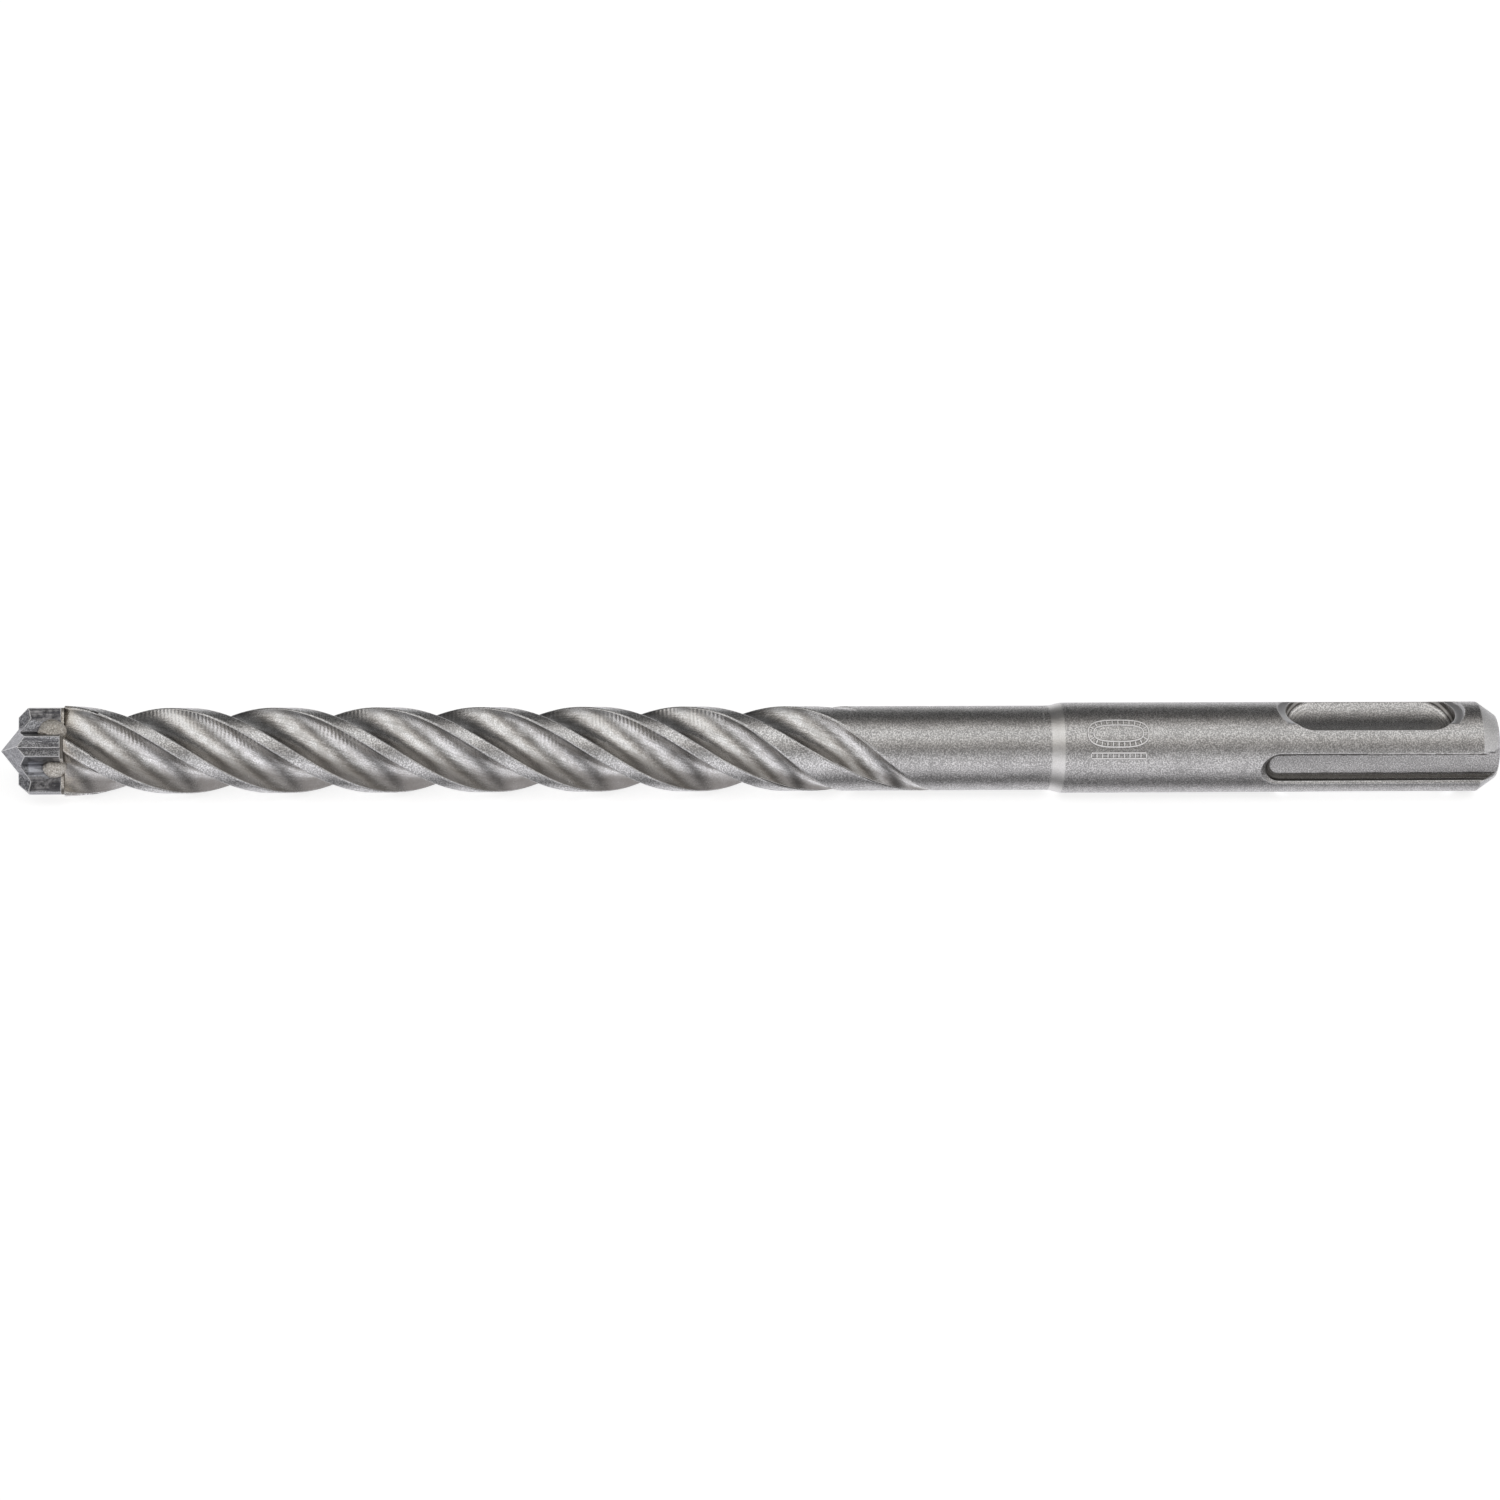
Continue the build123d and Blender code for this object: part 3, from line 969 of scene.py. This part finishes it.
def carbide_material():
    """Dark sintered skin between ground faces, with painted highlights along its edges and painted
    shade in its hollows.
    """
    material, tree, shader, place = new_material("sintered_carbide")
    parts = parts_of(tree, place)
    along = parts["X"]
    skin, edge = grit_and_edge_light(tree, place, 0.13 * mm, 0.17 * mm, 1.4 * mm)
    grinding = clouds(tree, vector(tree, "MULTIPLY", place, (0.06, 1.0, 1.0)), 4200.0, 2.0)
    patches = clouds(tree, place, 620.0, 4.0, 0.7)
    out = from_axis(tree, place)
    ragged = math(tree, "MULTIPLY_ADD", patches, 1.6 * mm, out)
    behind_roof = ramp(tree, along, tip_x + 2.9 * mm, tip_x + 3.2 * mm)
    rough_skin = times(tree, ramp(tree, ragged, 4.0 * mm, 4.5 * mm),
                       ramp(tree, out, 4.66 * mm, 4.58 * mm), behind_roof)
    patchy = ramp(tree, patches, 0.38, 0.62)
    sintered = mix_colour(tree, patchy, (0.035, 0.033, 0.033), (0.42, 0.41, 0.41))
    colour = mix_colour(tree, skin["Speck"], (0.13, 0.132, 0.14), (0.52, 0.525, 0.545))
    colour = cover(tree, colour, rough_skin, 0.8, sintered)
    below = ramp(tree, parts["Z"], axis_height + 0.8 * mm, axis_height - 0.4 * mm)
    # Painted light: the valleys on the lower side are painted pale and bluish
    painted_light_low_valleys = times(tree, ramp(tree, ragged, 4.3 * mm, 3.9 * mm), behind_roof, below)
    colour = cover(tree, colour, painted_light_low_valleys, 0.85, (0.84, 0.86, 0.92))
    colour = cover(tree, colour, ramp(tree, grinding, 0.49, 0.57), 0.65, (0.08, 0.08, 0.09))
    # Painted shade in the hollows, and a painted highlight along the edges
    colour = cover(tree, colour, edge["Hollow"], 0.85, (0.075, 0.07, 0.07))
    colour = mix_colour(tree, edge["Mask"], colour, (1.0, 1.0, 1.0))
    metal = math(tree, "MULTIPLY_ADD", edge["Mask"], -0.75, 1.0)
    rough = math(tree, "MULTIPLY_ADD", rough_skin, 0.15, 0.30)
    rough = math(tree, "MULTIPLY_ADD", edge["Mask"], 0.3, rough)
    feed(tree, shader, {"Base Color": colour, "Metallic": metal, "Roughness": rough})
    relief = math(tree, "MULTIPLY_ADD", grinding, 0.7, skin["Height"])
    relief = math(tree, "MULTIPLY_ADD", times(tree, patches, rough_skin), 2.0, relief)
    emboss(tree, shader, relief, 0.025 * mm, normal=edge["Rounded Normal"])
    return material


head.material_slots[0].material = carbide_material()


# Braze joint and beads
# Tan filler metal, melted into the gap between carbide and steel. It shows
# as a thin seam all round, and what ran out has set as lumps in the valleys.

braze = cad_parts["braze_joint"]


def braze_material():
    """Dull tan filler, darker in its seam, with painted shade in its hollows."""
    material, tree, shader, place = new_material("braze_filler")
    skin, edge = grit_and_edge_light(tree, place, 0.16 * mm, 0.1 * mm, 0.8 * mm)
    stains = clouds(tree, place, 900.0, 3.0, 0.65)
    colour = mix_colour(tree, skin["Speck"], (0.62, 0.585, 0.53), (1.0, 0.98, 0.94))
    colour = mix_colour(tree, ramp(tree, stains, 0.58, 0.68), colour, (0.36, 0.32, 0.27))
    # Painted shade in the hollows
    colour = cover(tree, colour, edge["Hollow"], 0.7, (0.14, 0.12, 0.10))
    in_seam = times(tree,
                    ramp(tree, parts_of(tree, place)["X"], tip_x + 6.42 * mm, tip_x + 6.5 * mm),
                    ramp(tree, from_axis(tree, place), 4.2 * mm, 4.5 * mm))
    colour = cover(tree, colour, in_seam, 0.9, (0.22, 0.205, 0.185))
    feed(tree, shader, {"Base Color": colour, "Metallic": 1.0, "Roughness": 0.7})
    emboss(tree, shader, skin["Height"], 0.03 * mm)
    return material


filler = braze_material()
braze.material_slots[0].material = filler


def braze_lump(shape, valley_angle, from_tip, out, size, seed):
    """Uneven drop of set metal in one valley of the head."""
    made = bmesh.ops.create_icosphere(shape, subdivisions=5, radius=1.0)
    turn = Matrix.Rotation(radians(valley_angle), 3, "X")
    for point in made["verts"]:
        way = point.co.normalized()
        swell = 1 + 0.16 * noise.noise(way * 1.7 + Vector((seed, 0, 0)))
        swell += 0.05 * noise.noise(way * 6.0 + Vector((0, seed, 0)))
        local = Vector((way.x * size[0], way.y * size[1], way.z * size[2])) * swell
        point.co = turn @ (local + Vector((0, out, 0))) + Vector((tip_x + from_tip, 0, axis_height))


braze_beads = empty_object("braze_beads")
shape = bmesh.new()
braze_lump(shape, 100, 5.55 * mm, 2.55 * mm, (1.6 * mm, 1.25 * mm, 1.8 * mm), 3.1)
braze_lump(shape, 187, 5.75 * mm, 2.75 * mm, (1.05 * mm, 1.15 * mm, 1.15 * mm), 7.7)
braze_lump(shape, 277, 5.65 * mm, 2.55 * mm, (1.4 * mm, 1.2 * mm, 1.6 * mm), 12.4)
braze_lump(shape, 7, 5.8 * mm, 2.7 * mm, (1.1 * mm, 1.2 * mm, 1.2 * mm), 21.9)
shape.to_mesh(braze_beads.data)
shape.free()
braze_beads.data.shade_smooth()
braze_beads.data.materials.append(filler)
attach(braze_beads, "root")


# Burr
# The cutter that opened the front drive groove left a thin ragged burr along
# its upper edge, blasted bright with the rest.

def burr_tree():
    """Small uneven crumbs of metal strung along a line."""
    tree, given = geometry_tree("groove_burr", {
        "Float": ("Length", "Crumb Size"),
        "Int": ("Crumbs",),
        "Vector": ("Start",),
        "Material": ("Finish",),
    })
    far = vector(tree, "ADD", given["Start"], joined(tree, given["Length"], 0.0, 0.0))
    line = node(tree, "GeometryNodeMeshLine", {
        "Count": given["Crumbs"], "Start Location": given["Start"], "Offset": far,
    }, mode="END_POINTS").outputs[0]
    crumb = node(tree, "GeometryNodeMeshIcoSphere", {
        "Radius": given["Crumb Size"], "Subdivisions": 2,
    }).outputs["Mesh"]
    size = node(tree, "FunctionNodeRandomValue", {
        "Min": (1.0, 0.35, 0.3), "Max": (3.4, 1.0, 1.0), "Seed": 11,
    }, data_type="FLOAT_VECTOR").outputs["Value"]
    strung = step_on(tree, "InstanceOnPoints", line, Instance=crumb, Scale=size)
    hand_over(tree, strung, given["Finish"], mark="raised")
    return tree


burr_rise = groove_half + 0.24 * mm
burr_out = sqrt(shank_radius**2 - burr_rise**2)
groove_burr = grow("groove_burr", burr_tree(), {
    "Length": 12.7 * mm,
    "Crumb Size": 0.08 * mm,
    "Crumbs": 70,
    "Start": (tip_x + 149.9 * mm, -burr_out, axis_height + burr_rise),
    "Finish": steel,
})
bake(groove_burr, radians(60))
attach(groove_burr, "root")


# Studio
# The bit lies on white paper between soft lamps. The light comes down in
# bands along the bit: a broad one overhead, a low one in front and a faint one
# behind, with dark gaps between them that model the round bar.

warm = (1.0, 0.96, 0.925)
neutral = (1.0, 1.0, 1.01)
sky_bands = [
    (0, 0.90, neutral),
    (10, 0.66, neutral),
    (26, 0.23, warm),
    (40, 0.44, warm),
    (52, 0.83, warm),
    (64, 1.36, warm),
    (74, 1.56, warm),
    (84, 1.18, warm),
    (96, 0.52, warm),
    (108, 0.17, warm),
    (125, 0.08, neutral),
    (142, 0.10, neutral),
    (155, 0.20, neutral),
    (168, 0.61, neutral),
    (180, 0.92, neutral),
]


def light_bands(tree, share, blending, bands):
    """Colours that follow one another along a share from 0 to 1."""
    ladder = node(tree, "ShaderNodeValToRGB", {"Fac": share})
    ladder.color_ramp.interpolation = blending
    stops = ladder.color_ramp.elements
    while len(stops) < len(bands):
        stops.new(0.5)
    for stop, (place, colour) in zip(stops, bands):
        stop.position = place
    for stop, (place, colour) in zip(stops, bands):
        stop.color = (*colour, 1)
    return ladder.outputs["Color"]


def studio_sky():
    """World whose light depends only on the angle round the bit's axis."""
    world = bpy.data.worlds.new("studio")
    world.use_nodes = True
    tree = world.node_tree
    way = parts_of(tree, node(tree, "ShaderNodeTexCoord").outputs["Generated"])
    angle = math(tree, "ARCTAN2", way["Z"], times(tree, way["Y"], -1.0))
    share = math(tree, "DIVIDE", angle, pi, clamp=True)
    bands = light_bands(tree, share, "CARDINAL", [
        (degrees / 180, [level * part for part in tint]) for degrees, level, tint in sky_bands
    ])
    seen = node(tree, "ShaderNodeLightPath").outputs["Is Camera Ray"]
    lit = mix_colour(tree, seen, bands, (1.0, 1.0, 1.0))
    tree.links.new(lit, tree.nodes["Background"].inputs["Color"])
    return world


# Light that the paper sends up, by distance (mm) from the bit's axis
floor_bands = [
    (0, 0.85), (3.3, 0.95), (4.6, 0.42), (5.6, 0.10),
    (7.2, 0.12), (11, 0.66), (16, 0.90), (24, 0.96),
]
paper_tint = (1.0, 0.99, 1.025)


def floor_material():
    """White paper: seen white, and mirrored in the steel as soft bands."""
    material = bpy.data.materials.new("white_paper")
    material.use_nodes = True
    tree = material.node_tree
    tree.nodes.clear()
    path = node(tree, "ShaderNodeLightPath").outputs
    mirrored = minus(tree, 1.0, path["Is Camera Ray"])
    spot = parts_of(tree, node(tree, "ShaderNodeTexCoord").outputs["Object"])
    widest = floor_bands[-1][0]
    share = math(tree, "DIVIDE", math(tree, "ABSOLUTE", spot["Y"]), widest * mm, clamp=True)
    bands = light_bands(tree, share, "B_SPLINE", [
        (distance / widest, [level * part for part in paper_tint])
        for distance, level in floor_bands
    ])
    glow = mix_colour(tree, mirrored, (0.80, 0.80, 0.80), bands)
    shine = node(tree, "ShaderNodeEmission", {"Color": glow, "Strength": 1.0})
    paper = node(tree, "ShaderNodeBsdfDiffuse", {
        "Color": mix_colour(tree, mirrored, (0.5, 0.5, 0.5), (0.1, 0.1, 0.1)),
    })
    both = node(tree, "ShaderNodeAddShader", {0: shine.outputs[0], 1: paper.outputs[0]})
    out = node(tree, "ShaderNodeOutputMaterial")
    tree.links.new(both.outputs[0], out.inputs["Surface"])
    return material


paper_reach = 3.0
corners = [(x * paper_reach, y * paper_reach, 0) for x, y in ((-1, -1), (1, -1), (1, 1), (-1, 1))]
floor = mesh_object("floor", corners, [(0, 1, 2, 3)])
floor.data.materials.append(floor_material())
bpy.context.scene.world = studio_sky()


# Camera
# A long lens some way off, looking down on the lying bit and turned a little
# so that the head end is nearer. The bit fills the frame from side to side.

camera_pitch = radians(32)      # view direction above the floor, across the bit
camera_yaw = radians(5)         # turned towards the head end
camera_roll = radians(0.2)
camera_distance = 0.560
frame_pixels = 1500
focal_pixels = 5083             # for a frame of that many pixels
sensor_width = 36
aim_along = -0.72 * mm
aim_across = -0.14 * mm

data = bpy.data.cameras.new("camera")
data.sensor_width = sensor_width
data.lens = sensor_width * focal_pixels / frame_pixels
data.clip_start = 0.01
camera = bpy.data.objects.new("camera", data)
bit_way = Vector((1, 0, 0))
out_way = Vector((0, -cos(camera_pitch), sin(camera_pitch)))
back = out_way * cos(camera_yaw) - bit_way * sin(camera_yaw)
right = bit_way * cos(camera_yaw) + out_way * sin(camera_yaw)
up = back.cross(right)
rolled_right = right * cos(camera_roll) - up * sin(camera_roll)
rolled_up = up * cos(camera_roll) + right * sin(camera_roll)
aim = Vector((aim_along, 0, axis_height)) + up * aim_across
camera.matrix_world = Matrix.Translation(aim + back * camera_distance) @ Matrix(
    (rolled_right, rolled_up, back)
).transposed().to_4x4()
bpy.context.scene.collection.objects.link(camera)
bpy.context.scene.camera = camera
bpy.context.scene.view_settings.view_transform = "Standard"
